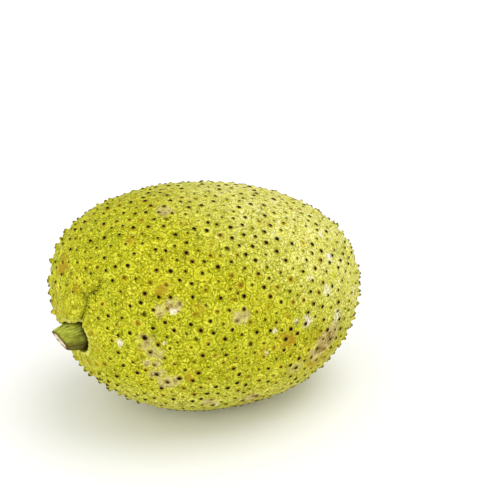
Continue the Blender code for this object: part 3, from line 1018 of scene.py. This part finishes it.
    def hollows(self, base):
        """Painted shade along and in the shoulder's creases, and the recess's wall: corky scar and painted
        shade.
        """
        return self.lay(
            base,
            (PAINTED_CREASE_SHADE, ("crease_shade", 0.0, 1.0, 0.0, 0.5)),
            (RECESS_SCAR_AND_SHADE, ("inside", 0.0, 1.0, 0.0, 0.9)),
            (CREASE_SHADOW, ("crease", 0.0, 0.6, 0.0, 0.9)),
        )

    def roughness(self):
        plain = self.smooth(self.mottle, 0.3, 0.7, 0.42, 0.58)
        return self.maths("MAXIMUM", plain, self.product(self.scuff, SCUFF_ROUGHNESS))

    def relief(self):
        relief = self.bump(self.noise(RELIEF, 4.0, 0.65), RELIEF_HEIGHT)
        return self.bump(self.product(self.folds, "shoulder"), SHOULDER_RELIEF_HEIGHT, Normal=relief)


def skin_material():
    paint = SkinPaint()
    base = paint.ground()
    base = paint.grains(base)
    base = paint.winding_lines(base)
    base = paint.shoulder_lines(base)
    base = paint.seams(base)
    base = paint.marks(base)
    base = paint.round_tips(base)
    base = paint.hollows(base)
    return paint.surface({
        "Base Color": paint.lay(base, (TIP_BLACK, paint.spot)),
        "Specular IOR Level": paint.smooth(paint.spot, 0.0, 1.0, SKIN_GLOSS, SPOT_GLOSS),
        "Roughness": paint.roughness(),
        "Normal": paint.relief(),
    })


class StemPaint(Paint):
    """The stem's fibrous bark and its cut."""

    def __init__(self):
        super().__init__("stem_fibre")
        self.along = self.round_stem(FIBRES_ROUND, self.product("height", FIBRES_ALONG))
        self.fibre = self.noise(1.0, 4.0, 0.65, self.along)
        self.mottle = self.noise(STEM_MOTTLE, 4.0, 0.6)

    def bark(self):
        """Green fibres painted lit on top and shaded browner below, brown in lines, in painted shade in the
        recess, torn brown at the cut.
        """
        fibres = self.smooth(self.fibre, 0.35, 0.65)
        brown_fibres = self.noise(BROWN_FIBRES, 1.0, 0.5, self.along)
        return self.lay(
            self.mix(fibres, *SHADED_LOWER_BARK),
            (self.mix(fibres, *LIT_UPPER_BARK), ("turn_y", -0.4, 0.8)),
            (BROWN_BARK, (self.mottle, 0.50, 0.70, 0.0, 0.6)),
            (BROWN_FIBRE, self.lines(brown_fibres, 0.75)),
            (SHADED_BARK, ("along", 0.45, 0.30, 0.0, 0.35)),
            (BARK_IN_RECESS_SHADOW, ("along", 0.36, 0.1, 0.0, 0.95)),
            (CUT_BARK, ("along", 0.90, 0.98, 0.0, 0.85)),
        )

    def flesh(self):
        """The cream-white cut, dried in patches, with brown specks and an uneven brown edge."""
        edge = self.maths("ADD", "edge", self.smooth(self.mottle, 0.3, 0.7, -0.15, 0.2))
        return self.lay(
            FRESH_CUT,
            (DRIED_CUT, (self.mottle, 0.4, 0.65)),
            (CUT_SPECK, (self.noise(SPECKLE), 0.62, 0.7, 0.0, 0.8)),
            (CUT_EDGE, (edge, 0.80, 0.96)),
        )


def stem_material():
    paint = StemPaint()
    relief = paint.bump(paint.fibre, FIBRE_RELIEF_HEIGHT)
    return paint.surface({
        "Base Color": paint.lay(paint.bark(), (paint.flesh(), ("cut", 0.4, 0.6))),
        "Specular IOR Level": STEM_GLOSS,
        "Roughness": paint.smooth(paint.mottle, 0.3, 0.7, 0.55, 0.8),
        "Normal": paint.bump(paint.mottle, BARK_RELIEF_HEIGHT, Normal=relief),
    })


def floor_material():
    return Paint("studio_floor").surface({"Base Color": FLOOR_COLOUR, "Roughness": FLOOR_ROUGHNESS})


# ---- the pieces ----


def add_piece(name, node, points, faces, values, material):
    """A piece that stands for a CAD node, inside its box, with values that its material reads."""
    low, high = (np.array(corner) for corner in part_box(node))
    mesh = bpy.data.meshes.new(name)
    mesh.from_pydata(np.clip(points, low, high).tolist(), [], faces)
    for key, value in values.items():
        mesh.attributes.new(key, "FLOAT", "POINT").data.foreach_set("value", np.asarray(value, np.float32))
    mesh.shade_smooth()
    mesh.materials.append(material)
    piece = bpy.data.objects.new(name, mesh)
    bpy.context.collection.objects.link(piece)
    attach(piece, "root")
    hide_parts(node)


def add_fruit():
    """Adds the skin at the place of the CAD's fruit, and returns how far that lifts the body's middle."""
    skin = make_skin()
    lift = np.array(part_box("fruit")[1]) - skin["tips"].max(axis=0)
    points = skin["points"] + lift
    values = tip_values(skin) | place_values(skin)
    add_piece("breadfruit_skin", "fruit", points, skin["faces"], values, skin_material())
    return lift


STEM_TURNS = np.arange(STEM_SIDES) * math.tau / STEM_SIDES


def ring_round_stem(radius, height):
    """Points round the stem's axis, from its foot; the radius and the height may differ for each point."""
    return round_stem(STEM_TURNS) * radius + RECESS_AXIS * height


def stem_outline(share):
    """The stem's radius on each side, at this share of its length; fibres lie inside the CAD's outline."""
    turn = STEM_TURNS[:, None]
    radius = STEM_ROOT_RADIUS + (STEM_CUT_RADIUS - STEM_ROOT_RADIUS) * share
    radius += STEM_BULGE * math.sin(math.pi * share)
    ridges = STEM_RIDGE_HEIGHT * (np.cos(STEM_RIDGES * turn) - 1.0)
    fibres = sum(np.sin(waves * turn + twist * share) for waves, twist in FIBRE_WAVES)
    fibres *= min(1.0, FIBRES_AT_FOOT + FIBRES_GROW * share)
    rounding = CUT_ROUNDING * smooth_step(CUT_ROUNDS_FROM, 1.0, np.array(share))
    return radius + ridges + FIBRE_HEIGHT * (fibres - len(FIBRE_WAVES)) - rounding


def height_of_cut(outline):
    """How far above the stem's foot the slanting cut is, over each point of an outline."""
    below = RECESS_AXIS * STEM_LENGTH - ring_round_stem(outline, 0.0)
    return (below @ STEM_CUT_NORMAL / (RECESS_AXIS @ STEM_CUT_NORMAL))[:, None]


def make_stub():
    """(points, values) of the stub: rings from its foot up, then inwards over the cut to its middle."""
    rings, values = [], []  # a value is (1 on the cut, share of the way out on it, share of the length)
    for share in (-STEM_SUNK / STEM_LENGTH, *np.linspace(0.0, 1.0, STEM_RINGS)):
        outline = stem_outline(share)
        rings.append(ring_round_stem(outline, share * height_of_cut(outline)) - share * OFF_MIDDLE)
        values.append((0.0, 1.0, share))
    for share in np.linspace(1.0, 0.0, CUT_RINGS)[:-1]:
        inner = outline * share * CUT_INSET
        hollow = CUT_HOLLOW * (1.0 - share**CUT_STEEPNESS)
        rings.append(ring_round_stem(inner, height_of_cut(inner) - hollow) - OFF_MIDDLE)
        values.append((1.0, share, 1.0))
    middle = RECESS_AXIS * (STEM_LENGTH - CUT_HOLLOW) - OFF_MIDDLE
    points = np.vstack([*rings, middle])
    turns = np.append(np.tile(STEM_TURNS, len(rings)), 0.0)
    counts = [STEM_SIDES] * len(rings) + [1]
    cut, edge, along = np.repeat([*values, (1.0, 0.0, 1.0)], counts, axis=0).T
    return points, {
        "cut": cut,
        "edge": edge,
        "along": along,
        "height": points @ RECESS_AXIS / MM,
        "turn_x": np.cos(turns),
        "turn_y": np.sin(turns),
    }


def stub_faces(count):
    """The stub's faces: the flat foot, the bands between its rings, and the fan round its last point."""
    rings = np.arange(count - 1).reshape(-1, STEM_SIDES).tolist()
    faces = [tuple(rings[0][::-1])]
    for low, high in zip(rings, rings[1:]):
        faces += band(low, high)
    return faces + fan(rings[-1], count - 1)


def add_stem(lift):
    """The stub of the stem, at the place of the CAD's stem."""
    points, values = make_stub()
    faces = stub_faces(len(points))
    add_piece("stem_stub", "stem", points + STEM_FOOT + lift, faces, values, stem_material())


# ---- floor, light and camera ----

FLOOR_SIZE = 30.0
KEY_ANGLE = math.radians(45)
# Lights that point at the fruit: (name, kind, place, energy, size); of the sun's place only the way counts.
LIGHTS = (
    ("key", "SUN", (0.30, -0.12, 1.00), 0.88, KEY_ANGLE),
    ("fill", "AREA", (-1.10, -0.60, 0.40), 4.8, 0.9),
    ("low_fill", "AREA", (0.45, -1.05, 0.12), 2.4, 0.9),
)
WORLD_COLOUR = (1.0, 1.0, 1.0, 1.0)
WORLD_STRENGTH = 0.90
CAMERA_AZIMUTH = math.radians(-22)
CAMERA_ELEVATION = math.radians(25)
CAMERA_DISTANCE = 0.58  # from the middle of the body
CAMERA_ROLL = math.radians(1.1)
CAMERA_LENS = 65.17
CAMERA_NEAREST = 0.01  # nothing nearer to the camera is drawn
LOOKS_AT = np.array([0.0274, 0.0004, 0.0258])  # from the middle of the body


def add_floor():
    bpy.ops.mesh.primitive_plane_add(size=FLOOR_SIZE, location=(0.0, 0.0, 0.0))
    floor = bpy.context.object
    floor.name = "floor"
    floor.data.materials.append(floor_material())


def add_lights():
    for name, kind, place, energy, size in LIGHTS:
        light = bpy.data.lights.new(name, kind)
        light.energy = energy
        setattr(light, "angle" if kind == "SUN" else "size", size)
        lamp = bpy.data.objects.new(name, light)
        lamp.location = place
        lamp.rotation_euler = (-Vector(place)).to_track_quat("-Z", "Y").to_euler()
        bpy.context.collection.objects.link(lamp)
    world = bpy.data.worlds.new("studio")
    world.use_nodes = True
    background = world.node_tree.nodes["Background"]
    background.inputs["Color"].default_value = WORLD_COLOUR
    background.inputs["Strength"].default_value = WORLD_STRENGTH
    bpy.context.scene.world = world
    bpy.context.scene.view_settings.view_transform = "Standard"


def add_camera(middle):
    """The camera, which looks a little to the right of the body's middle and above it."""
    level = math.cos(CAMERA_ELEVATION) * CAMERA_DISTANCE
    height = math.sin(CAMERA_ELEVATION) * CAMERA_DISTANCE
    place = middle + np.array([math.sin(CAMERA_AZIMUTH) * level, -math.cos(CAMERA_AZIMUTH) * level, height])
    aim = Vector(middle + LOOKS_AT - place).to_track_quat("-Z", "Y").to_matrix().to_4x4()
    data = bpy.data.cameras.new("camera")
    data.lens = CAMERA_LENS
    data.clip_start = CAMERA_NEAREST
    camera = bpy.data.objects.new("camera", data)
    camera.matrix_world = Matrix.Translation(place) @ aim @ Matrix.Rotation(CAMERA_ROLL, 4, "Z")
    bpy.context.collection.objects.link(camera)
    bpy.context.scene.camera = camera


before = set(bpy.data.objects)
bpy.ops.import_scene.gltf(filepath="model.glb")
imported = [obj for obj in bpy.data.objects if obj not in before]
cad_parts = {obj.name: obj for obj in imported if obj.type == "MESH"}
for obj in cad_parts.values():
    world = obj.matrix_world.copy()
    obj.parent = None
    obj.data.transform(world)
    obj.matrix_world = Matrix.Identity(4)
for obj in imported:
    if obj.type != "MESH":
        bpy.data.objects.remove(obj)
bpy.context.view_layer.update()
body_lift = add_fruit()
add_stem(body_lift)
add_floor()
add_lights()
add_camera(body_lift)
